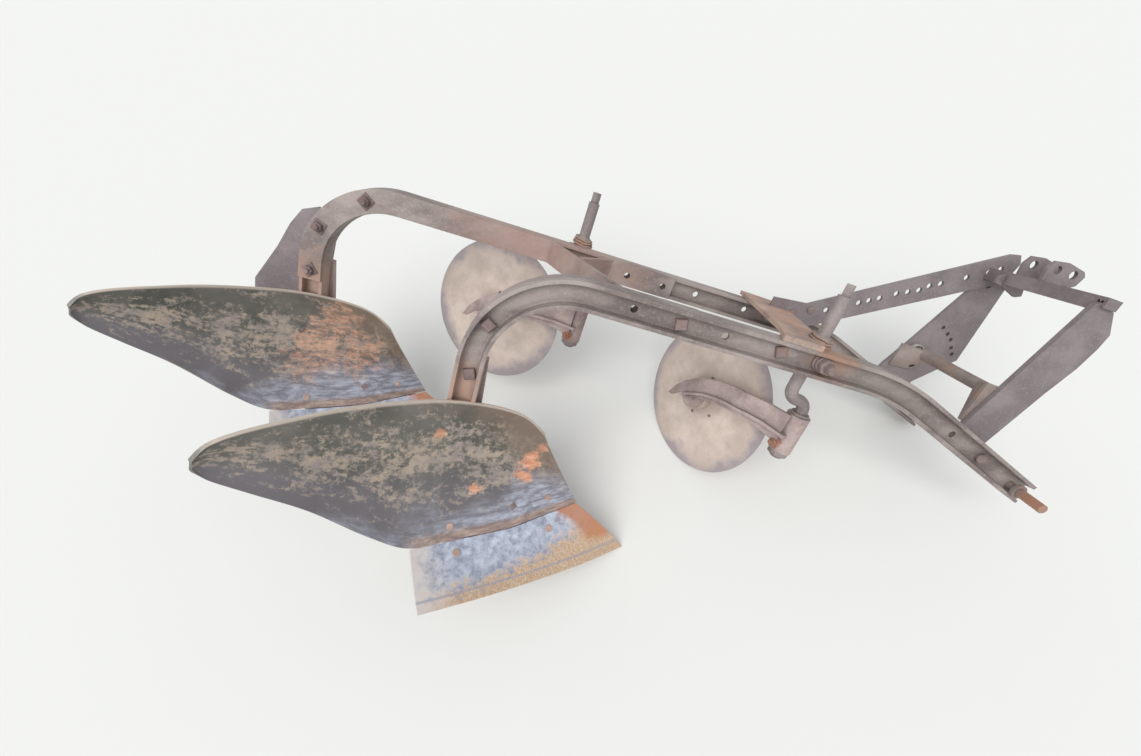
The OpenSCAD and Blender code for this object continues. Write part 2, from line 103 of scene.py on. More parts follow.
camera = put_in_scene("camera", bpy.data.cameras.new("camera"))
right = turned((0.95629291, -0.01513481, 0.2920185))
down = turned((0.25708577, -0.43230653, -0.86430201))
ahead = turned((0.13932255, 0.90159969, -0.40952073))
axes = Matrix((right, -down, -ahead)).transposed()
camera.matrix_world = Matrix.Translation(parked(EYE)) @ axes.to_4x4()
camera.data.sensor_width = 36
camera.data.lens = camera.data.sensor_width * FOCAL_LENGTH / PICTURE_WIDTH
camera.data.clip_start = 0.05
scene.camera = camera
print("lens", round(camera.data.lens, 1), "mm")

# %% [markdown]
# ## Node helpers
#
# Colours are written as sRGB hex codes, the way a paint chart gives them, and one function turns
# them to the linear values that Blender's sockets take. A second one adds a node, sets its
# properties and feeds its inputs, so a material reads as a list of steps.

# %% Colour and node helpers
def linear(code):
    """An sRGB hex colour in linear light."""
    values = [int(code[i:i + 2], 16) / 255 for i in (1, 3, 5)]
    line = [v / 12.92 if v <= 0.04045 else ((v + 0.055) / 1.055) ** 2.4 for v in values]
    return (*line, 1.0)


def add(tree, kind, feeds=None, **settings):
    """Adds a node, sets its properties, and feeds its inputs with values or other outputs."""
    new = tree.nodes.new(kind)
    for name, value in settings.items():
        setattr(new, name, value)
    for name, value in (feeds or {}).items():
        socket = new.inputs[name]
        if isinstance(value, bpy.types.NodeSocket):
            tree.links.new(value, socket)
        else:
            socket.default_value = value
    return new


def start_material(name):
    """An empty node material and its tree."""
    material = bpy.data.materials.new(name)
    material.use_nodes = True
    material.node_tree.nodes.clear()
    return material, material.node_tree


print("old rust in linear light", [round(v, 3) for v in linear("#A56F4C")])

# %% [markdown]
# ## Floor and light
#
# Old steel shows its relief best under a broad, soft sky with one side a little stronger, as on
# a bright overcast day. A very wide sun stands in for the bright part of the cloud. A pale floor
# stands in for the ground. The camera and every polished face see a white sky, while the sky
# lights the object at a plainer level.

# %% Floor, sky and sun
world = bpy.data.worlds.new("soft sky")
scene.world = world
world.use_nodes = True
sky = world.node_tree
sky.nodes.clear()
rays = add(sky, "ShaderNodeLightPath")
seen = add(sky, "ShaderNodeMath", {0: rays.outputs["Is Camera Ray"],
    1: rays.outputs["Is Glossy Ray"]}, operation="MAXIMUM")
lit = add(sky, "ShaderNodeBackground", {"Color": linear("#E9EDF2"), "Strength": 0.82})
shown = add(sky, "ShaderNodeBackground", {"Color": linear("#F4F4F2"), "Strength": 0.95})
both = add(sky, "ShaderNodeMixShader", {0: seen.outputs[0], 1: lit.outputs[0],
    2: shown.outputs[0]})
add(sky, "ShaderNodeOutputWorld", {"Surface": both.outputs[0]})

sun = put_in_scene("bright cloud", bpy.data.lights.new("bright cloud", "SUN"))
sun.data.energy = 2.1
sun.data.angle = math.radians(50)
sun.rotation_euler = Vector((0.30, 0.72, -0.85)).to_track_quat("-Z", "Y").to_euler()

floor_material, tree = start_material("matt floor paint")
paint = add(tree, "ShaderNodeBsdfPrincipled", {"Base Color": linear("#E4E3DE"),
    "Roughness": 0.9})
add(tree, "ShaderNodeOutputMaterial", {"Surface": paint.outputs[0]})
FLOOR_REACH = 60
corners = [(x * FLOOR_REACH, y * FLOOR_REACH, 0) for x, y in ((-1, -1), (1, -1), (1, 1), (-1, 1))]
floor_mesh = bpy.data.meshes.new("floor")
floor_mesh.from_pydata(corners, [], [(0, 1, 2, 3)])
floor_mesh.materials.append(floor_material)
floor = put_in_scene("floor", floor_mesh)
scene.view_settings.view_transform = "Standard"
print("floor, sky and", len(bpy.data.lights), "sun")

# %% [markdown]
# ## Old farm steel
#
# Nearly every piece is the same family of surface: hot-rolled or cast steel whose paint went long
# ago. What the eye reads is a brown-grey oxide skin, mottled in patches a hand wide, with thin
# rust where water stands and pale lines on the handled edges. One function builds that family.
# Each finish then only names its colours and how much rust it carries. The patterns are sized
# from real distances: blotches of 90 mm, stains of 40 mm, freckles of 6 mm and pits of 1.5 mm.
# Rust that belongs to one place only is a ball-shaped mask around that place.

# %% Weathered steel, as a family of finishes
def old_steel(name, skin, shade, pale, rust, rusty=0.5, rough=(0.5, 0.75), metal=0.2,
              pits=0.0005, edge=0.0015, stretch=(1, 1, 1), places=()):
    """Oxidised steel: skin and shade mottled together, rust in stains, pale worn edges, painted
    shade in inside corners.
    """
    material, tree = start_material(name)
    where = add(tree, "ShaderNodeTexCoord").outputs["Object"]
    along = add(tree, "ShaderNodeMapping", {"Vector": where, "Scale": stretch}).outputs[0]
    blotch = add(tree, "ShaderNodeTexNoise", {"Vector": along, "Scale": 11.0, "Detail": 7.0,
        "Roughness": 0.6}).outputs[0]
    stain = add(tree, "ShaderNodeTexNoise", {"Vector": where, "Scale": 25.0, "Detail": 8.0,
        "Roughness": 0.66, "Distortion": 0.4}).outputs[0]
    freckle = add(tree, "ShaderNodeTexNoise", {"Vector": where, "Scale": 160.0, "Detail": 4.0,
        "Roughness": 0.6}).outputs[0]
    pit = add(tree, "ShaderNodeTexNoise", {"Vector": where, "Scale": 650.0, "Detail": 2.0})
    mottle = add(tree, "ShaderNodeMapRange", {"Value": blotch, "From Min": 0.40,
        "From Max": 0.60}).outputs[0]
    speck = add(tree, "ShaderNodeMapRange", {"Value": freckle, "From Min": 0.52,
        "From Max": 0.78, "To Max": 0.45}).outputs[0]
    # rust sits where the stain pattern is strongest
    limit = 0.64 - 0.28 * rusty
    cover = add(tree, "ShaderNodeMapRange", {"Value": stain, "From Min": limit,
        "From Max": limit + 0.16, "To Max": min(1.0, 0.35 + 0.6 * rusty)}).outputs[0]
    # each colour lies over those before it
    colour = linear(shade)
    for mask, over in ((mottle, skin), (speck, pale), (cover, rust)):
        colour = add(tree, "ShaderNodeMix", {0: mask, 6: colour, 7: linear(over)},
            data_type="RGBA").outputs[2]
    # local rust: full at the place, gone at its reach, with a ragged border from the stains
    for place, reach, shade_there, strength in places:
        far = add(tree, "ShaderNodeVectorMath", {0: where, 1: parked(place)},
            operation="DISTANCE").outputs["Value"]
        ragged = add(tree, "ShaderNodeMath", {0: stain, 1: -1.2 * reach * MM, 2: far},
            operation="MULTIPLY_ADD").outputs[0]
        near = add(tree, "ShaderNodeMapRange", {"Value": ragged, "From Min": 0.45 * reach * MM,
            "From Max": -0.2 * reach * MM, "To Max": strength}).outputs[0]
        colour = add(tree, "ShaderNodeMix", {0: near, 6: colour, 7: linear(shade_there)},
            data_type="RGBA").outputs[2]
    # a bevelled normal differs from the true one only near an edge, so it finds worn edges
    round_normal = add(tree, "ShaderNodeBevel", {"Radius": edge}, samples=4)
    true_normal = add(tree, "ShaderNodeNewGeometry")
    agree = add(tree, "ShaderNodeVectorMath", {0: round_normal.outputs[0],
        1: true_normal.outputs["Normal"]}, operation="DOT_PRODUCT")
    worn = add(tree, "ShaderNodeMapRange", {"Value": agree.outputs["Value"], "From Min": 0.99,
        "From Max": 0.82, "To Max": 0.5}).outputs[0]
    # painted shade: inside corners, where nearby walls of the same piece hide the sky, are
    # darkened in the colour
    open_sky = add(tree, "ShaderNodeAmbientOcclusion", {"Distance": 0.022}, samples=6,
        only_local=True)
    corner_shade = add(tree, "ShaderNodeMapRange", {"Value": open_sky.outputs["AO"], "From Min": 0.35,
        "From Max": 0.85, "To Min": 0.75, "To Max": 0.0}).outputs[0]
    # the pale worn edges, then the painted shade of the inside corners in dark brown-grey
    for mask, over in ((worn, pale), (corner_shade, "#4E4642")):
        colour = add(tree, "ShaderNodeMix", {0: mask, 6: colour, 7: linear(over)},
            data_type="RGBA").outputs[2]
    dull = add(tree, "ShaderNodeMapRange", {"Value": freckle, "To Min": rough[0],
        "To Max": rough[1]})
    height = add(tree, "ShaderNodeMath", {0: pit.outputs[0], 1: 0.35, 2: freckle},
        operation="MULTIPLY_ADD")
    relief = add(tree, "ShaderNodeBump", {"Height": height.outputs[0], "Distance": pits,
        "Strength": 0.8, "Normal": round_normal.outputs[0]})
    surface = add(tree, "ShaderNodeBsdfPrincipled", {"Base Color": colour,
        "Roughness": dull.outputs[0], "Metallic": metal, "Normal": relief.outputs[0]})
    add(tree, "ShaderNodeOutputMaterial", {"Surface": surface.outputs[0]})
    return material


# %% The finishes of this plough
# hot-rolled sections: smooth brown-grey oxide, pinkish rust low on the goose-necks
beam_steel = old_steel("hot-rolled steel, brown-grey oxide", "#A0948F", "#756A67", "#C2B7AE",
    "#8C7062", rusty=0.25, stretch=(0.45, 1, 1), places=[
        ((10, 0, 372), 95, "#B08E7C", 0.8), ((-470, 356, 380), 120, "#A98876", 0.75),
        ((760, 5, 684), 70, "#A88069", 0.8), ((140, 356, 690), 320, "#A5857A", 0.6),
        ((900, 0, 610), 130, "#928F84", 0.4)])
# flat bar and plate: darker, smoother and more even than the rolled beams
plate_steel = old_steel("plate steel, dark even oxide", "#877D7E", "#756B6D", "#A89E9A",
    "#7F6A60", rusty=0.15, pits=0.0003)
# plates where water stands: dull brown rust with orange bloom
rusty_plate = old_steel("plate steel, brown rust", "#B39E91", "#8F7C73", "#D0C0B2", "#B98C74",
    rusty=0.7, rough=(0.7, 0.9), metal=0.05)
# castings and forgings: mauve-brown, grainy, bright where hands and soil rub
cast_steel = old_steel("cast steel, mauve-brown rust", "#AE9C98", "#8A7976", "#D2C2BA",
    "#9B7866", rusty=0.3, rough=(0.55, 0.8), pits=0.001)
# the swivel stems, turned round and greyer than the castings
stem_steel = old_steel("forged stem steel, grey-brown", "#978D8A", "#7B716F", "#B9ADA6",
    "#8A7266", rusty=0.25, rough=(0.55, 0.8), pits=0.0008)
# forged bars and pins: red-brown, with a warm worn middle
forged_steel = old_steel("forged steel, red-brown", "#958983", "#7C706A", "#B9AA9E", "#9C7F6D",
    rusty=0.5, rough=(0.6, 0.85), pits=0.0008, places=[
        ((1110, 180, 632), 90, "#A08468", 0.5), ((1353, -70, 501), 45, "#B07A5C", 0.7)])
# fasteners hold more rust than what they clamp
bolt_steel = old_steel("bolt steel, crusted", "#8C7B78", "#6C5D5B", "#AC9C95", "#8E6A58",
    rusty=0.45, rough=(0.6, 0.85), pits=0.0009, edge=0.0008)
orange_bolt = old_steel("bolt steel, fresh orange rust", "#AA7860", "#86604F", "#C9A692",
    "#B06F50", rusty=0.6, rough=(0.7, 0.9), metal=0.05, edge=0.0008)
pale_bolt = old_steel("bolt steel, pink-brown rust", "#BFA294", "#A0877B", "#D6C3B7",
    "#B98B73", rusty=0.45, rough=(0.6, 0.85), metal=0.1, edge=0.0006)
print(len(bpy.data.materials), "materials so far")

# %% [markdown]
# ## Moldboards
#
# A moldboard is one sheet of hardened steel, pressed to a twisting hollow that lifts the soil and
# rolls it over. Its shape follows a rule: at each station along the sheet a chord joins the lower
# edge to the upper edge, and the face is pushed back from the chord by a hollow that grows and
# fades along the sheet. The stations are joined by a smooth spline. The same loft makes the
# share. The solids hold this loft coarsely. Here it is drawn again much finer, so that the sky
# runs over the face without a break, and each point keeps its place on the sheet (how far
# along, how far up, front or back), because wear follows the sheet and not the room.

# %% The loft that shapes moldboards and shares
JOINT_LINE = [(363, 35, 119), (276, -18, 96), (207, -60, 79), (93, -112, 62), (7, -161, 60)]
EDGE_LINE = [(531, 44, 1.8), (427, -36, 1.8), (313, -113, 1.8), (186, -192, 1.8), (61, -263, 1.8)]
BOARD_LOW = JOINT_LINE + [(-71, -188, 97), (-174, -225, 172), (-259, -258, 220),
    (-310, -282, 254), (-323.6, -295.7, 282)]
BOARD_UP = [(229, 35, 292), (176, 30, 330), (102, 8, 350), (8, -34, 361), (-79, -88, 361),
    (-159, -150, 358), (-225, -208, 349), (-276, -256, 339), (-306, -284, 325),
    (-321.6, -297.7, 300)]
BOARD_HOLLOW = [8, 8, 9, 12, 16, 18, 16, 12, 7, 2]
SHARE_HOLLOW = [-9, -2, 2, 2, 2]
BOARD_LIFT = Vector((0, 0, 3.15))
BOTTOMS = {"right": Vector((0, 0, 0)), "left": BOTTOM_STEP}


def spline(table, u):
    """A smooth curve through the table's entries, at place u counted in entries."""
    last = len(table) - 1
    i = min(int(u), last - 1)
    t = u - i
    a, b, c, d = (table[max(0, min(last, k))] for k in (i - 1, i, i + 1, i + 2))
    return 0.5 * (b * 2 + (c - a) * t + (a * 2 - b * 5 + c * 4 - d) * t ** 2
        + (b * 3 - a - c * 3 + d) * t ** 3)


def shade(build, degrees):
    """Smooth faces, kept sharp at every edge that turns by more than the angle."""
    for face in build.faces:
        face.smooth = True
    for edge in build.edges:
        edge.smooth = edge.calc_face_angle(0) < math.radians(degrees)


def loft(name, low, up, hollow, thick, steps, rows, offset, wave=0.0):
    """A closed sheet between two edge lines, with its 'sheet' places as an attribute."""
    low, up = [Vector(p) for p in low], [Vector(p) for p in up]
    last = len(low) - 1
    front = []
    for i in range(steps + 1):
        # the hollow is deepest halfway up each chord
        u = last * i / steps
        a, b = spline(low, u), spline(up, u)
        along = spline(low, min(u + 0.1, last)) - spline(low, max(u - 0.1, 0))
        normal = (b - a + Vector((0, 0, 0.001))).cross(along).normalized()
        push = spline(hollow, u)
        front.append([a + (b - a) * v - normal * 4 * v * (1 - v) * push
            for v in (j / rows for j in range(rows + 1))])
    points, places = [], []
    for side in (0, 1):
        for i in range(steps + 1):
            for j in range(rows + 1):
                p = front[min(i + 1, steps)][j] - front[max(i - 1, 0)][j]
                q = front[i][min(j + 1, rows)] - front[i][max(j - 1, 0)]
                normal = q.cross(p).normalized()
                v = j / rows
                # the sheet has its full thickness from two fifths of its height
                depth = side * (thick[0] + (thick[1] - thick[0]) * min(1, v * 2.5))
                # a used sheet is never true: slow waves, 80 mm long and under 1 mm high
                inner = min(1, 8 * v * (1 - v), 12 * i / steps, 12 * (1 - i / steps))
                depth += wave * inner * (0.5 + noise.noise(front[i][j] * 0.012 + offset * 0.01))
                points.append(parked(front[i][j] - normal * depth + offset))
                places.append((i / steps, v, side))
    wide, half = rows + 1, (steps + 1) * (rows + 1)
    faces = []
    for i in range(steps):
        for j in range(rows):
            k = i * wide + j
            faces.append((k, k + 1, k + wide + 1, k + wide))
            faces.append((half + k, half + k + wide, half + k + wide + 1, half + k + 1))
        k, m = i * wide, i * wide + rows
        faces.append((k, k + wide, half + k + wide, half + k))
        faces.append((m, half + m, half + m + wide, m + wide))
    for j in range(rows):
        m = steps * wide + j
        faces.append((j, half + j, half + j + 1, j + 1))
        faces.append((m, m + 1, half + m + 1, half + m))
    mesh = bpy.data.meshes.new(name)
    mesh.from_pydata(points, [], faces)
    sheet = mesh.attributes.new("sheet", "FLOAT_VECTOR", "POINT")
    sheet.data.foreach_set("vector", [value for place in places for value in place])
    build = bmesh.new()
    build.from_mesh(mesh)
    bmesh.ops.recalc_face_normals(build, faces=build.faces)
    shade(build, degrees=40)
    build.to_mesh(mesh)
    build.free()
    return put_in_scene(name, mesh)


print(len(BOARD_LOW), "stations along a moldboard,", len(EDGE_LINE), "along a share")

# %% [markdown]
# The scoured face has a story in zones. Along the top the sheet stays dark and smooth. Across the
# middle, thin tan rust has smeared over the dark skin in streaks that run along the soil's way.
# Low down near the share it is blue-grey and almost polished. The front upper corner is olive
# brown, and a few spots have broken out in fresh orange. Each zone is a mask made from the place
# on the sheet, with its border broken up by noise.

# %% Moldboard steel
def board_steel(name, seed, blooms):
    """Scoured sheet steel in zones. blooms: (level place, reach in mm, strength) of fresh rust."""
    material, tree = start_material(name)
    sheet = add(tree, "ShaderNodeAttribute", attribute_name="sheet").outputs["Vector"]
    along, up, side = add(tree, "ShaderNodeSeparateXYZ", {0: sheet}).outputs
    where = add(tree, "ShaderNodeTexCoord").outputs["Object"]
    # smears: about 80 mm long and 35 mm high, leaning back as the soil runs
    lean = add(tree, "ShaderNodeMapping", {"Vector": sheet, "Location": (seed, seed, 0),
        "Rotation": (0, 0, math.radians(-14)), "Scale": (11.0, 8.0, 1)}).outputs[0]
    streak = add(tree, "ShaderNodeTexNoise", {"Vector": lean, "Scale": 1.0, "Detail": 12.0,
        "Roughness": 0.74, "Distortion": 0.35}).outputs[0]
    # scour marks: about 40 mm long and 12 mm high
    scour_way = add(tree, "ShaderNodeMapping", {"Vector": sheet, "Location": (seed, 0, 0),
        "Rotation": (0, 0, math.radians(-10)), "Scale": (22.0, 24.0, 1)}).outputs[0]
    scour = add(tree, "ShaderNodeTexNoise", {"Vector": scour_way, "Scale": 1.0, "Detail": 10.0,
        "Roughness": 0.72, "Distortion": 0.2}).outputs[0]
    # clouds of 125 mm, smudges of 28 mm, flecks of 11 mm and a grain of 6 mm
    cloud, smudge, fleck, grain = (add(tree, "ShaderNodeTexNoise", {"Vector": where,
        "Scale": fine, "Detail": detail, "Roughness": harsh}).outputs[0]
        for fine, detail, harsh in ((8.0, 5.0, 0.55), (36.0, 9.0, 0.72), (95.0, 7.0, 0.74),
            (170.0, 5.0, 0.65)))
    skin = add(tree, "ShaderNodeMapRange", {"Value": cloud, "From Min": 0.35,
        "From Max": 0.65}).outputs[0]
    # the lower half is a smoother purple grey
    lower = add(tree, "ShaderNodeMapRange", {"Value": up, "From Min": 0.6, "From Max": 0.3,
        "To Max": 0.75}).outputs[0]
    # tan smears across the middle band
    band = add(tree, "ShaderNodeValToRGB", {0: up})
    ramp = band.color_ramp.elements
    ramp[0].position, ramp[0].color = 0.05, (0.12, 0.12, 0.12, 1)
    ramp[1].position, ramp[1].color = 0.97, (0.35, 0.35, 0.35, 1)
    for height, share_of_tan in ((0.36, 0.7), (0.62, 1.0)):
        middle = ramp.new(height)
        middle.color = (share_of_tan, share_of_tan, share_of_tan, 1)
    smear = add(tree, "ShaderNodeMath", {0: band.outputs[0], 1: 0.22, 2: streak},
        operation="MULTIPLY_ADD")
    flecked = add(tree, "ShaderNodeMath", {0: fleck, 1: 0.8, 2: smear.outputs[0]},
        operation="MULTIPLY_ADD")
    tan = add(tree, "ShaderNodeMapRange", {"Value": flecked.outputs[0], "From Min": 1.03,
        "From Max": 1.16, "To Max": 0.8}).outputs[0]
    pink = add(tree, "ShaderNodeMapRange", {"Value": smudge, "From Min": 0.4,
        "From Max": 0.6}).outputs[0]
    # scoured blue-grey towards the share: low and forward
    low = add(tree, "ShaderNodeMath", {0: up, 1: -1.0, 2: 0.62}, operation="MULTIPLY_ADD")
    near = add(tree, "ShaderNodeMath", {0: along, 1: -0.9, 2: low.outputs[0]},
        operation="MULTIPLY_ADD")
    torn = add(tree, "ShaderNodeMath", {0: cloud, 1: 0.9, 2: near.outputs[0]},
        operation="MULTIPLY_ADD")
    scoured = add(tree, "ShaderNodeMapRange", {"Value": torn.outputs[0], "From Min": 0.42,
        "From Max": 0.72, "To Max": 0.9}).outputs[0]
    blue = add(tree, "ShaderNodeMapRange", {"Value": scour, "From Min": 0.42,
        "From Max": 0.68}).outputs[0]
    # olive brown in the front upper corner
    front = add(tree, "ShaderNodeMath", {0: along, 1: -2.4, 2: up}, operation="MULTIPLY_ADD")
    corner = add(tree, "ShaderNodeMath", {0: cloud, 1: 0.8, 2: front.outputs[0]},
        operation="MULTIPLY_ADD")
    olive = add(tree, "ShaderNodeMapRange", {"Value": corner.outputs[0], "From Min": 0.45,
        "From Max": 0.85, "To Max": 0.75}).outputs[0]
    # a crusted brown strip along the seam with the share, which ends where the wing is free
    strip = add(tree, "ShaderNodeMapRange", {"Value": up, "From Min": 0.085, "From Max": 0.05})
    held = add(tree, "ShaderNodeMapRange", {"Value": along, "From Min": 0.47, "From Max": 0.42})
    seam = add(tree, "ShaderNodeMath", {0: strip.outputs[0], 1: held.outputs[0]},
        operation="MULTIPLY").outputs[0]
    # fresh rust breaks out in a few places
    bloom = 0.0
    for spot, reach, strength in blooms:
        far = add(tree, "ShaderNodeVectorMath", {0: where, 1: parked(spot)},
            operation="DISTANCE").outputs["Value"]
        ragged = add(tree, "ShaderNodeMath", {0: smudge, 1: -3.0 * reach * MM, 2: far},
            operation="MULTIPLY_ADD").outputs[0]
        here = add(tree, "ShaderNodeMapRange", {"Value": ragged, "From Min": -0.75 * reach * MM,
            "From Max": -1.05 * reach * MM, "To Max": strength}).outputs[0]
        if reach > 60:
            # a wide stain is broken by dark skin
            broken = add(tree, "ShaderNodeMapRange", {"Value": scour, "From Min": 0.44,
                "From Max": 0.56, "To Min": 0.2}).outputs[0]
            here = add(tree, "ShaderNodeMath", {0: here, 1: broken},
                operation="MULTIPLY").outputs[0]
        bloom = add(tree, "ShaderNodeMath", {0: here, 1: bloom},
            operation="MAXIMUM").outputs[0]
    # the rim is neither front nor back. It is worn pale, and along the top edge that pale is also
    # a painted highlight, but it stays dark round the wing
    rim_place = add(tree, "ShaderNodeMath", {0: side, 1: 0.5}, operation="SUBTRACT")
    off = add(tree, "ShaderNodeMath", {0: rim_place.outputs[0]}, operation="ABSOLUTE")
    rim = add(tree, "ShaderNodeMapRange", {"Value": off.outputs[0], "From Min": 0.499,
        "From Max": 0.47, "To Max": 0.85}).outputs[0]
    wing = add(tree, "ShaderNodeMapRange", {"Value": along, "From Min": 0.86,
        "From Max": 0.93}).outputs[0]
    # a painted highlight: the last few millimetres under the top edge are painted as pale as the
    # rim
    top = add(tree, "ShaderNodeMapRange", {"Value": up, "From Min": 0.975, "From Max": 0.99,
        "To Max": 0.75}).outputs[0]
    # the colour of each zone wanders between two shades; the skin is greenish black to grey
    colour, smeared, polished, crusted, fresh, edge = (add(tree, "ShaderNodeMix",
        {0: mask, 6: linear(one), 7: linear(other)}, data_type="RGBA").outputs[2]
        for mask, one, other in ((skin, "#4B4B45", "#6F6B65"), (pink, "#9A8F8A", "#B9A895"),
            (blue, "#807F8A", "#C6CBD9"), (blue, "#84726C", "#BCA79C"),
            (blue, "#C88B6B", "#EDBDA0"), (wing, "#C9BBAE", "#6C6962")))
    # each zone lies over those before it
    for mask, over in ((lower, linear("#716C72")), (tan, smeared), (scoured, polished),
            (olive, linear("#7D6A5C")), (seam, crusted), (bloom, fresh), (rim, edge),
            (top, edge)):
        colour = add(tree, "ShaderNodeMix", {0: mask, 6: colour, 7: over},
            data_type="RGBA").outputs[2]
    rough = add(tree, "ShaderNodeMix", {0: tan, 2: 0.42, 3: 0.66}).outputs[0]
    crust = add(tree, "ShaderNodeMix", {0: bloom, 2: rough, 3: 0.85}).outputs[0]
    relief = add(tree, "ShaderNodeMath", {0: seam, 1: 2.0, 2: 0.35}, operation="MULTIPLY_ADD")
    bump = add(tree, "ShaderNodeBump", {"Height": grain, "Distance": 0.0006,
        "Strength": relief.outputs[0]})
    surface = add(tree, "ShaderNodeBsdfPrincipled", {"Base Color": colour, "Roughness": crust,
        "Metallic": 0.3, "Normal": bump.outputs[0]})
    add(tree, "ShaderNodeOutputMaterial", {"Surface": surface.outputs[0]})
    return material


# %% Two moldboards
BOARD_WEAR = {
    "right": (4.0, [((215, 8, 222), 40, 1.0), ((207, 2, 192), 34, 0.95),
        ((242, 26, 262), 26, 0.7), ((104, -57, 166), 20, 0.95), ((6, -54, 291), 15, 0.7)]),
    "left": (9.0, [((-409, 312, 228), 110, 0.55), ((-377, 350, 290), 80, 0.5),
        ((-330, 345, 215), 100, 0.5), ((-440, 290, 180), 80, 0.35), ((-395, 320, 255), 14, 1.0),
        ((-300, 352, 200), 12, 0.9)])}
sheets = {}
for side, offset in BOTTOMS.items():
    name = "moldboard_" + side
    board = loft(name + "_sheet", BOARD_LOW, BOARD_UP, BOARD_HOLLOW, thick=(7, 7), steps=108,
        rows=28, offset=offset + BOARD_LIFT, wave=0.8)
    board.data.materials.append(board_steel("moldboard steel, scoured, " + side,
        *BOARD_WEAR[side]))
    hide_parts(name)
    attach(board, "frame")
    sheets[name] = board
    print(board.name, len(board.data.polygons), "faces")

# %% [markdown]
# ## Shares
#
# The share does the cutting. It is a bar of plough steel with a ground bevel along its edge. The
# flat stays blue where soil polished it last, and rust has come back as ochre along the bevel,
# deep orange at the point and pale scale at the wing end. A thin blue line marks where the
# bevel starts. The same sheet places drive these zones.

# %% Share steel
share_steel, tree = start_material("plough steel, blued and rusted")
sheet = add(tree, "ShaderNodeAttribute", attribute_name="sheet").outputs["Vector"]
along, up = add(tree, "ShaderNodeSeparateXYZ", {0: sheet}).outputs[:2]
where = add(tree, "ShaderNodeTexCoord").outputs["Object"]
cloud = add(tree, "ShaderNodeTexNoise", {"Vector": where, "Scale": 46.0, "Detail": 9.0,
    "Roughness": 0.72, "Distortion": 0.2}).outputs[0]
grain = add(tree, "ShaderNodeTexNoise", {"Vector": where, "Scale": 210.0, "Detail": 5.0,
    "Roughness": 0.7}).outputs[0]
bright = add(tree, "ShaderNodeMapRange", {"Value": cloud, "From Min": 0.38, "From Max": 0.64})
warm = add(tree, "ShaderNodeMapRange", {"Value": grain, "From Min": 0.4, "From Max": 0.7})
colour, rust = (add(tree, "ShaderNodeMix", {0: mask.outputs[0], 6: linear(one),
    7: linear(other)}, data_type="RGBA").outputs[2]
    for mask, one, other in ((bright, "#8F93A3", "#C9D0DF"), (warm, "#BC9672", "#E0CBB0")))
# ochre rust climbs from the edge, further towards the point
climb = add(tree, "ShaderNodeMath", {0: along, 1: -0.5, 2: 0.80}, operation="MULTIPLY_ADD")
reach = add(tree, "ShaderNodeMath", {0: climb.outputs[0], 1: up}, operation="SUBTRACT")
ragged = add(tree, "ShaderNodeMath", {0: cloud, 1: 1.3, 2: reach.outputs[0]},
    operation="MULTIPLY_ADD")
ochre = add(tree, "ShaderNodeMapRange", {"Value": ragged.outputs[0], "From Min": 0.72,
    "From Max": 0.92, "To Max": 0.9}).outputs[0]
# deep orange over the point
point = add(tree, "ShaderNodeMath", {0: cloud, 1: 0.18, 2: along}, operation="MULTIPLY_ADD")
orange = add(tree, "ShaderNodeMapRange", {"Value": point.outputs[0], "From Min": 0.27,
    "From Max": 0.20, "To Max": 0.85}).outputs[0]
high = add(tree, "ShaderNodeMapRange", {"Value": up, "From Min": 0.25, "From Max": 0.4})
tip = add(tree, "ShaderNodeMath", {0: orange, 1: high.outputs[0]},
    operation="MULTIPLY").outputs[0]
# pale scale on the wing end and the outer bevel
end = add(tree, "ShaderNodeMath", {0: cloud, 1: 0.25, 2: along}, operation="MULTIPLY_ADD")
scale = add(tree, "ShaderNodeMapRange", {"Value": end.outputs[0], "From Min": 0.96,
    "From Max": 1.08, "To Max": 0.85}).outputs[0]
# the thin blue line at the top of the bevel
line_off = add(tree, "ShaderNodeMath", {0: up, 1: 0.17}, operation="SUBTRACT")
line_near = add(tree, "ShaderNodeMath", {0: line_off.outputs[0]}, operation="ABSOLUTE")
line = add(tree, "ShaderNodeMapRange", {"Value": line_near.outputs[0], "From Min": 0.028,
    "From Max": 0.012, "To Max": 0.6}).outputs[0]
for mask, over in ((ochre, rust), (tip, linear("#BC7E56")), (scale, linear("#D8CEC8")),
        (line, linear("#959AAB"))):
    colour = add(tree, "ShaderNodeMix", {0: mask, 6: colour, 7: over},
        data_type="RGBA").outputs[2]
relief = add(tree, "ShaderNodeBump", {"Height": grain, "Distance": 0.0008, "Strength": 0.6})
surface = add(tree, "ShaderNodeBsdfPrincipled", {"Base Color": colour, "Roughness": 0.55,
    "Metallic": 0.25, "Normal": relief.outputs[0]})
add(tree, "ShaderNodeOutputMaterial", {"Surface": surface.outputs[0]})
print(share_steel.name, "has", len(tree.nodes), "nodes")

# %% Two shares
for side, offset in BOTTOMS.items():
    name = "share_" + side
    share = loft(name + "_blade", EDGE_LINE, JOINT_LINE, SHARE_HOLLOW, thick=(2, 10), steps=60,
        rows=20, offset=offset)
    share.data.materials.append(share_steel)
    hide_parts(name)
    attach(share, "frame")
    sheets[name] = share
    print(share.name, len(share.data.polygons), "faces")

# %% [markdown]
# ## Curved solids, shaded smooth
#
# The beams, bars, pins, coulters and rounded plates were drawn with curves, but a solid reaches
# Blender as flat facets. A merged copy of each is shaded smooth across gentle angles and kept
# sharp at real corners. The copy also keeps each point's place from a centre, so a pattern can
# follow the piece, such as the rim of a disc.

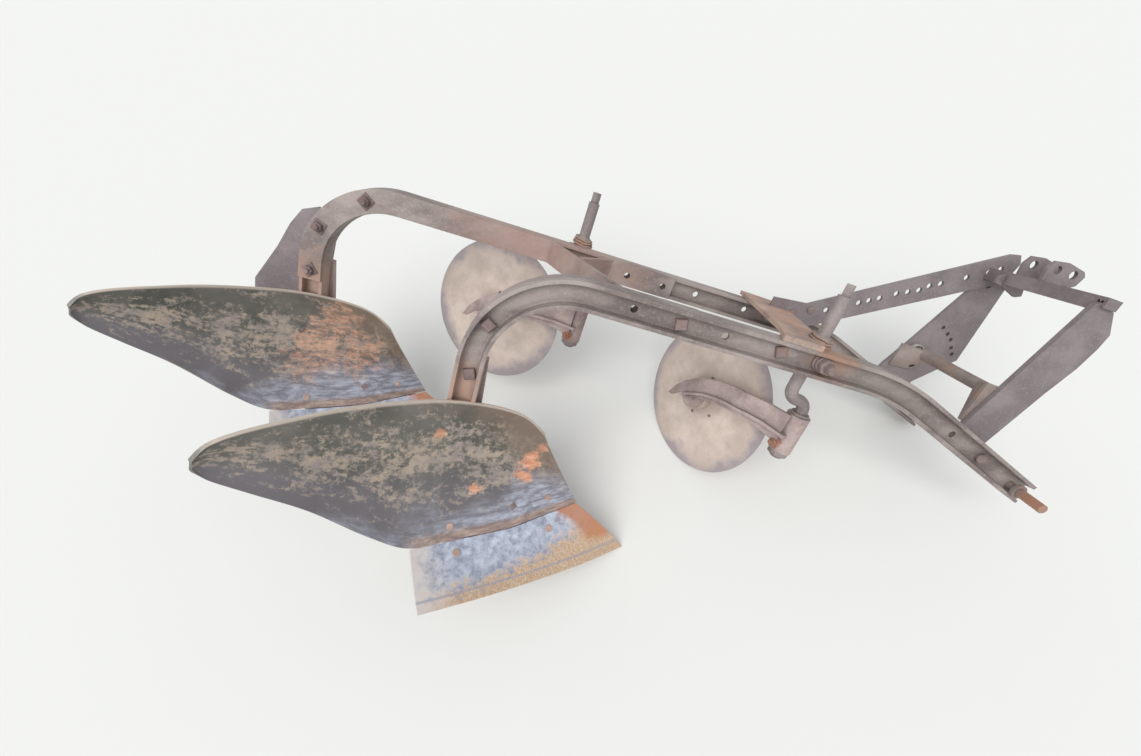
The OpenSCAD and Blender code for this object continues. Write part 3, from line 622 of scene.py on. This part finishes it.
# %% Smooth copies
def smooth_copy(name, body, finish, centre=Vector((0, 0, 0))):
    """A merged, smoothly shaded copy that stands for a solid."""
    mesh = nodes[name].data.copy()
    build = bmesh.new()
    build.from_mesh(mesh)
    bmesh.ops.remove_doubles(build, verts=build.verts, dist=2e-6)
    shade(build, degrees=28)
    build.to_mesh(mesh)
    build.free()
    spot = mesh.attributes.new("spot", "FLOAT_VECTOR", "POINT")
    spot.data.foreach_set("vector", [v for p in mesh.vertices for v in (p.co - centre)])
    mesh.materials.clear()
    mesh.materials.append(finish)
    piece = put_in_scene(name + "_smooth", mesh)
    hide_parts(name)
    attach(piece, body)


for finish, names in ((beam_steel, ("beam_right", "beam_left", "tie_bar", "spacer_bracket")),
        (plate_steel, ("tail_bracket", "strap", "mast_left", "top_link_ears")),
        (stem_steel, ("shank_right", "shank_left", "clamp_right", "clamp_left")),
        (forged_steel, ("lower_cross_bar", "hitch_pin_right", "hitch_pin_left"))):
    for name in names:
        smooth_copy(name, "frame", finish)
for side in ("right", "left"):
    smooth_copy("coulter_arm_" + side, "coulter_fork_" + side, cast_steel)

# %% [markdown]
# ## Coulter discs
#
# Each disc is a thin plate of spring steel that slices the soil ahead of the share. It stood dry
# for years: the middle carries a matt beige dust of fine rust, and the rim, which worked in the
# ground, is a bare mauve grey. Distance from the hub drives the change.

# %% Disc steel
disc_steel, tree = start_material("spring steel, beige rust dust")
spot = add(tree, "ShaderNodeAttribute", attribute_name="spot").outputs["Vector"]
where = add(tree, "ShaderNodeTexCoord").outputs["Object"]
radius = add(tree, "ShaderNodeVectorMath", {0: spot}, operation="LENGTH").outputs["Value"]
cloud = add(tree, "ShaderNodeTexNoise", {"Vector": where, "Scale": 14.0, "Detail": 8.0,
    "Roughness": 0.62}).outputs[0]
grain = add(tree, "ShaderNodeTexNoise", {"Vector": where, "Scale": 190.0, "Detail": 5.0,
    "Roughness": 0.65}).outputs[0]
warm = add(tree, "ShaderNodeMapRange", {"Value": cloud, "From Min": 0.35,
    "From Max": 0.65}).outputs[0]
speck = add(tree, "ShaderNodeMapRange", {"Value": grain, "From Min": 0.58, "From Max": 0.75,
    "To Max": 0.5}).outputs[0]
# the bare rim is about 30 mm wide, with a cloudy border
ragged = add(tree, "ShaderNodeMath", {0: cloud, 1: 0.16, 2: radius}, operation="MULTIPLY_ADD")
bare = add(tree, "ShaderNodeMapRange", {"Value": ragged.outputs[0], "From Min": 0.258,
    "From Max": 0.295, "To Max": 0.8}).outputs[0]
hub_zone = add(tree, "ShaderNodeMapRange", {"Value": radius, "From Min": 0.075,
    "From Max": 0.045, "To Max": 0.7}).outputs[0]
colour = linear("#B9A99E")
for mask, over in ((warm, "#D2C2B6"), (speck, "#8F7D72"), (bare, "#8F878E"),
        (hub_zone, "#9C8B82")):
    colour = add(tree, "ShaderNodeMix", {0: mask, 6: colour, 7: linear(over)},
        data_type="RGBA").outputs[2]
relief = add(tree, "ShaderNodeBump", {"Height": grain, "Distance": 0.0008, "Strength": 0.5})
surface = add(tree, "ShaderNodeBsdfPrincipled", {"Base Color": colour, "Roughness": 0.72,
    "Metallic": 0.1, "Normal": relief.outputs[0]})
add(tree, "ShaderNodeOutputMaterial", {"Surface": surface.outputs[0]})
print(disc_steel.name, "has", len(tree.nodes), "nodes")

# %% The two discs
axles = {joint["name"].split("_")[-1]: joint for joint in frame["joints"]
    if joint["name"].startswith("disc_turn")}
for side, axle in axles.items():
    smooth_copy("coulter_disc_" + side, "coulter_wheel_" + side, disc_steel,
        centre=Vector(axle["pos_m"]))
    print("disc", side, "turns about", [round(v, 3) for v in axle["axis"]])

# %% Give the plain solids their finish
for name, solid in nodes.items():
    if solid.hide_render:
        continue
    finish = plate_steel
    if name.startswith("frog"):
        finish = cast_steel
    elif name == "cross_plate":
        finish = rusty_plate
    solid.data.materials.clear()
    solid.data.materials.append(finish)
    print(name, "in", finish.name)

# %% [markdown]
# ## Fasteners
#
# Every joint of such a plough is bolted, so that worn pieces can be changed in the field. A bolt
# head, a nut, a washer and a bolt's end are all one idea: a short prism with a worn edge,
# standing on a surface. So a fastener here is a stack of such prisms, and a Geometry Nodes tree
# sets one on every point of a list. Each point says which shape stands there, which way it
# faces, how it is turned and how wide and high it is. A little random lean keeps the row from
# looking machine-made. A second tree winds wire further down, and both start, end and run in
# the same way, so those three steps come first.

# %% How every tree starts, ends and is run
def start_tree(name, inputs, output):
    """An empty geometry tree with named inputs, and the sockets that bring them in."""
    tree = bpy.data.node_groups.new(name, "GeometryNodeTree")
    for label, kind in inputs.items():
        tree.interface.new_socket(label, in_out="INPUT", socket_type="NodeSocket" + kind)
    tree.interface.new_socket(output, in_out="OUTPUT", socket_type="NodeSocketGeometry")
    return tree, add(tree, "NodeGroupInput").outputs


def finish_tree(tree, geometry, material):
    """Makes copies real and dresses them, because an export drops what is only instanced."""
    real = add(tree, "GeometryNodeRealizeInstances", {0: geometry})
    dressed = add(tree, "GeometryNodeSetMaterial", {0: real.outputs[0], "Material": material})
    add(tree, "NodeGroupOutput", {0: dressed.outputs[0]})
    return tree


def run_tree(tree, name, mesh, values):
    """The plain mesh that a tree makes from a mesh, with its inputs set by their identifiers."""
    source = put_in_scene(name, mesh)
    modifier = source.modifiers.new("tree", "NODES")
    modifier.node_group = tree
    socket = {item.name: item.identifier for item in tree.interface.items_tree}
    for label, value in values.items():
        modifier[socket[label]] = value
    ready = source.evaluated_get(bpy.context.evaluated_depsgraph_get())
    made = bpy.data.meshes.new_from_object(ready)
    bpy.data.objects.remove(source)
    return made


# %% The tree that sets fasteners
SHAPES = {"square": 4, "hexagon": 6, "round": 24}
# what each point says, and in which kind of value
MARKS = {"toward": "FLOAT_VECTOR", "grow": "FLOAT_VECTOR", "spin": "FLOAT", "shape": "INT"}
SUNK = 0.4  # how far each prism of a stack stands in the one below, in millimetres


def fastener_tree():
    """A node tree that stands a worn prism on each point, by the point's attributes."""
    tree, given = start_tree("fasteners on points", {"Points": "Geometry",
        "Material": "Material", "Worn top": "Float", "Lean": "Float"}, "Fasteners")
    named = {name: add(tree, "GeometryNodeInputNamedAttribute", {"Name": name},
        data_type=kind).outputs[0] for name, kind in MARKS.items()}
    lean = add(tree, "FunctionNodeRandomValue", {"Seed": 7}, data_type="FLOAT_VECTOR")
    shrink = add(tree, "ShaderNodeVectorMath", {0: lean.outputs[0], 1: (0.5, 0.5, 0.5)},
        operation="SUBTRACT")
    small = add(tree, "ShaderNodeVectorMath", {0: shrink.outputs[0], "Scale": given["Lean"]},
        operation="SCALE")
    aim = add(tree, "ShaderNodeVectorMath", {0: named["toward"], 1: small.outputs[0]})
    stand = add(tree, "FunctionNodeAlignRotationToVector", {"Vector": aim.outputs[0]}, axis="Z")
    turn = add(tree, "FunctionNodeAxisAngleToRotation", {"Axis": (0, 0, 1),
        "Angle": named["spin"]})
    way = add(tree, "FunctionNodeRotateRotation", {"Rotation": stand.outputs[0],
        "Rotate By": turn.outputs[0]}, rotation_space="LOCAL")
    join = add(tree, "GeometryNodeJoinGeometry")
    for number, sides in enumerate(SHAPES.values()):
        # a prism of unit height and unit width across its flats
        prism = add(tree, "GeometryNodeMeshCylinder", {"Vertices": sides,
            "Radius": 0.5 / math.cos(math.pi / sides), "Depth": 0.8})
        risen = add(tree, "GeometryNodeTransform", {0: prism.outputs["Mesh"],
            "Translation": (0, 0, 0.4), "Rotation": (0, 0, math.pi / sides)})
        cap = add(tree, "GeometryNodeExtrudeMesh", {0: risen.outputs[0],
            "Selection": prism.outputs["Top"], "Offset Scale": 0.2})
        worn = add(tree, "GeometryNodeScaleElements", {0: cap.outputs[0],
            "Selection": cap.outputs["Top"], "Scale": given["Worn top"]})
        same = add(tree, "FunctionNodeCompare", {2: named["shape"], 3: number},
            data_type="INT", operation="EQUAL")
        placed = add(tree, "GeometryNodeInstanceOnPoints", {"Points": given["Points"],
            "Selection": same.outputs[0], "Instance": worn.outputs[0],
            "Rotation": way.outputs[0], "Scale": named["grow"]})
        tree.links.new(placed.outputs[0], join.inputs[0])
    return finish_tree(tree, join.outputs[0], given["Material"])


FASTENERS = fastener_tree()
print(FASTENERS.name, "has", len(FASTENERS.nodes), "nodes")

# %% Setting fasteners
def set_fasteners(name, body, stack_list, finish, worn=0.82, lean=0.05):
    """One mesh of fasteners on a body. Each stack: place, facing, spin, [(shape, width, high)]."""
    points = []
    marks = {label: [] for label in MARKS}
    for place, facing, turn, prisms in stack_list:
        facing = Vector(facing).normalized()
        foot = Vector(place)
        for kind, width, high in prisms:
            points.append(foot)
            marks["toward"] += list(facing)
            marks["grow"] += [width * MM, width * MM, high * MM]
            marks["spin"].append(math.radians(turn))
            marks["shape"].append(list(SHAPES).index(kind))
            foot = foot + facing * (high - SUNK) * MM
    mesh = bpy.data.meshes.new(name + " points")
    mesh.from_pydata(points, [], [])
    for label, kind in MARKS.items():
        mesh.attributes.new(label, kind, "POINT").data.foreach_set(
            "vector" if kind == "FLOAT_VECTOR" else "value", marks[label])
    made = run_tree(FASTENERS, name + " points", mesh,
        {"Material": finish, "Worn top": worn, "Lean": lean})
    piece = put_in_scene(name, made)
    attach(piece, body)
    return piece


# %% [markdown]
# The list of what is bolted where. The web of a beam is 9 mm thick, so its outer face lies 4.5 mm
# to the right of the beam's middle, and a head starts 0.1 mm inside it. Square heads hold the
# spacer and the tie bar. One big bolt with two thick washers takes the coulter clamp's pull. The
# nuts on the tie bar and the strap show between the beams.

# %% Fasteners of the frame
def level(place, facing, turn, prisms):
    """A stack given in level millimetres."""
    return (parked(place), turned(facing), turn, prisms)


def on_face(piece, place):
    """The nearest spot on a finished piece to a level place, and the direction it faces."""
    mesh = piece.data
    surface = BVHTree.FromPolygons([v.co for v in mesh.vertices],
        [face.vertices for face in mesh.polygons])
    return surface.find_nearest(parked(place))[:2]


# the faces that carry fasteners, in millimetres to the left of the right beam's middle
WEB_FACE, TIE_BAR_FACE, STRAP_FACE = -4.4, 321.1, 318.5
TO_THE_RIGHT = (0, -1, 0)
HEAD = [("square", 24, 10)]
NUT = [("square", 31, 4), ("hexagon", 21, 11), ("round", 12, 7)]
BIG_BOLT = [("round", 40, 9), ("round", 35, 9), ("hexagon", 30, 17), ("round", 19, 16)]
ROUND_HEAD = [("round", 24, 9)]
STRAP_NUT = [("square", 26, 5), ("hexagon", 19, 9)]
# each row: the face, the stack, and where it stands: (forward, up, turned by degrees)
FRAME_BOLTS = [
    (WEB_FACE, HEAD, [(47, 541, 40), (32, 424, 4), (418, 653, 0), (642, 658, 8)]),
    (WEB_FACE, BIG_BOLT, [(736, 659, 10)]),
    (WEB_FACE, ROUND_HEAD, [(1227.8, 549.9, 0)]),
    (TIE_BAR_FACE, NUT, [(-331, 641, 38), (-437, 548, 52), (-453, 431, 20)]),
    (STRAP_FACE, STRAP_NUT, [(856, 714, 10), (812, 693, 35)])]
stacks = [level((x, face, z), TO_THE_RIGHT, turn, prisms)
    for face, prisms, spots in FRAME_BOLTS for x, z, turn in spots]
bolt_piece = set_fasteners("frame_bolts", "frame", stacks, bolt_steel)
print(bolt_piece.name, len(stacks), "stacks,", len(bolt_piece.data.polygons), "faces")

# %% [markdown]
# Plough bolts hold the share and the moldboard on the frog. Soil has to slide over them, so their
# heads are countersunk and worn until only a shallow disc or square shows. Each stands 1 or 2 mm
# proud of the sheet, at the nearest face of the finished sheet and facing its way. The list is
# that of the right bottom. The left one repeats it one step on.

# %% Plough bolts
ROUND_HEADS = [("share_", (102.4, -133.2, 48.2), 17), ("share_", (304.8, -26.5, 74.4), 18),
    ("moldboard_", (282.6, 7.0, 138.7), 14), ("moldboard_", (74.0, -105.5, 92.0), 16)]
SQUARE_HEADS = [("moldboard_", (202.3, -36.8, 127.4), 15)]


def plough_bolts(name, heads, shape, high, turn, finish, worn):
    """Sets the same worn heads on both bottoms, 1 mm deep in the sheet."""
    stacks = []
    for side, offset in BOTTOMS.items():
        for sheet_name, place, width in heads:
            spot, normal = on_face(sheets[sheet_name + side], Vector(place) + offset)
            stacks.append((spot - normal * MM, normal, turn, [(shape, width, high)]))
    set_fasteners(name, "frame", stacks, finish, worn=worn, lean=0.02)
    print(name, len(stacks))


plough_bolts("plough_bolts", ROUND_HEADS, "round", 3.2, 12, pale_bolt, worn=0.78)
plough_bolts("square_plough_bolts", SQUARE_HEADS, "square", 2.0, 45, bolt_steel, worn=0.86)

# %% [markdown]
# ## Coulter hardware
#
# Round rivets tie each disc to its hub flange. They sit on the disc, so they turn with it. The
# pinch bolt at the foot of the swivel head rides the arm. Its fresh orange rust shows that it
# was moved last.

# %% Hub rivets
# (millimetres out from the axle, degrees round it)
HUB_RIVETS = [(52, 195), (60, 90), (58, 320), (62, 255), (56, 30)]
# the hub's cone falls from its crown, 12 mm high at 36 mm out, to the 3 mm plate at 62 mm
CROWN_OUT, CROWN_HIGH, PLATE_OUT, PLATE_HIGH = 36, 12, 62, 3
for side, axle in axles.items():
    centre, outward = Vector(axle["pos_m"]), -Vector(axle["axis"])
    up_way = turned((0, 0, 1))
    back_way = up_way.cross(outward)
    stacks = []
    for facing in (outward, -outward):
        for distance, angle in HUB_RIVETS:
            turn = math.radians(angle)
            spoke = back_way * math.cos(turn) + up_way * math.sin(turn)
            rise = (CROWN_HIGH - PLATE_HIGH) * max(0, PLATE_OUT - distance)
            high = PLATE_HIGH + rise / (PLATE_OUT - CROWN_OUT)
            stacks.append((centre + (spoke * distance + facing * (high - 1)) * MM, facing, 0,
                [("round", 9, 3.5)]))
    set_fasteners("hub_rivets_" + side, "coulter_wheel_" + side, stacks, bolt_steel)
    print(side, len(stacks), "hub rivets")

# %% Pinch bolts
STEMS = {"right": (745, 46), "left": (214, 402)}
SWINGS = {"right": 63.0, "left": 25.5}
# the stem's crank, and where the pinch bolt stands on the arm's head: up, out and back
CRANK, PINCH_UP, PINCH_OUT, PINCH_BACK = 50, 432, 25, 4
PINCH_BOLT = [("square", 25, 7), ("hexagon", 18, 10), ("round", 11, 9)]
for side, (x, y) in STEMS.items():
    swing = math.radians(SWINGS[side])
    # the arm's own backward and sideways directions, level
    back = Vector((-math.cos(swing), math.sin(swing), 0))
    away = Vector((-math.sin(swing), -math.cos(swing), 0))
    foot = Vector((x + CRANK, y, PINCH_UP)) + away * PINCH_OUT + back * PINCH_BACK
    stacks = [level(foot, away, 20, PINCH_BOLT)]
    set_fasteners("pinch_bolt_" + side, "coulter_fork_" + side, stacks, orange_bolt)
    print(side, "pinch bolt at", [round(v) for v in foot])

# %% [markdown]
# ## Wound wire
#
# A rope-like collar of rusted wire is wound round each coulter stem where it leaves the beam,
# and a few turns of thinner wire hold the left end of the lower cross bar. A winding is a spiral
# with a round section swept along it, which Curve Spiral and Curve to Mesh give in two nodes.

# %% The tree that winds wire
def winding_tree():
    """A node tree that winds a closed, round wire about the z axis."""
    tree, given = start_tree("wire wound on a bar", {"Material": "Material", "Turns": "Float",
        "First radius": "Float", "Last radius": "Float", "Rise": "Float",
        "Wire radius": "Float"}, "Winding")
    spiral = add(tree, "GeometryNodeCurveSpiral", {"Resolution": 36, "Rotations": given["Turns"],
        "Start Radius": given["First radius"], "End Radius": given["Last radius"],
        "Height": given["Rise"]})
    where = add(tree, "GeometryNodeInputPosition")
    rough = add(tree, "ShaderNodeTexNoise", {"Vector": where.outputs[0], "Scale": 90.0})
    centred = add(tree, "ShaderNodeVectorMath", {0: rough.outputs["Color"],
        1: (0.5, 0.5, 0.5)}, operation="SUBTRACT")
    stray = add(tree, "ShaderNodeVectorMath", {0: centred.outputs[0], "Scale": 0.006},
        operation="SCALE")
    loose = add(tree, "GeometryNodeSetPosition", {0: spiral.outputs[0],
        "Offset": stray.outputs[0]})
    section = add(tree, "GeometryNodeCurvePrimitiveCircle", {"Resolution": 8,
        "Radius": given["Wire radius"]})
    wound = add(tree, "GeometryNodeCurveToMesh", {0: loose.outputs[0],
        1: section.outputs[0], "Fill Caps": True})
    return finish_tree(tree, wound.outputs[0], given["Material"])


WINDING = winding_tree()
print(WINDING.name, "has", len(WINDING.nodes), "nodes")

# %% Winding wire
collar_rust = old_steel("wire, thick orange-brown rust", "#9E8678", "#7E6C62", "#BBA596",
    "#A47A64", rusty=0.6, rough=(0.75, 0.95), metal=0.05, edge=0.0006)
pale_wire = old_steel("wire, dull zinc", "#B9B2A9", "#968E86", "#CFC9C0", "#A08A7A",
    rusty=0.2, edge=0.0004)


def wind(name, body, place, axis, finish, turns, first, last, rise, wire):
    """Winds wire about an axis through a level place, with radii and rise in millimetres."""
    made = run_tree(WINDING, name, bpy.data.meshes.new(name), {"Material": finish,
        "Turns": turns, "First radius": first * MM, "Last radius": last * MM,
        "Rise": rise * MM, "Wire radius": wire * MM})
    turn = turned(axis).to_track_quat("Z", "Y").to_matrix().to_4x4()
    made.transform(Matrix.Translation(parked(place)) @ turn)
    piece = put_in_scene(name, made)
    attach(piece, body)
    print(name, len(made.polygons), "faces")


# %% Collars and wire
BEAM_TOP = 684
NEARLY_UP, ALONG_BAR = (0.04, -0.05, 1), (0.1, 1, 0.05)
for side, (x, y) in STEMS.items():
    wind("stem_collar_" + side, "frame", (x, y, BEAM_TOP), NEARLY_UP, collar_rust, turns=3.2,
        first=26.0, last=21.0, rise=20.0, wire=3.4)
wind("bar_wire", "frame", (1205, 300, 694), ALONG_BAR, pale_wire, turns=3.3, first=17.5,
    last=17.0, rise=15.0, wire=1.3)
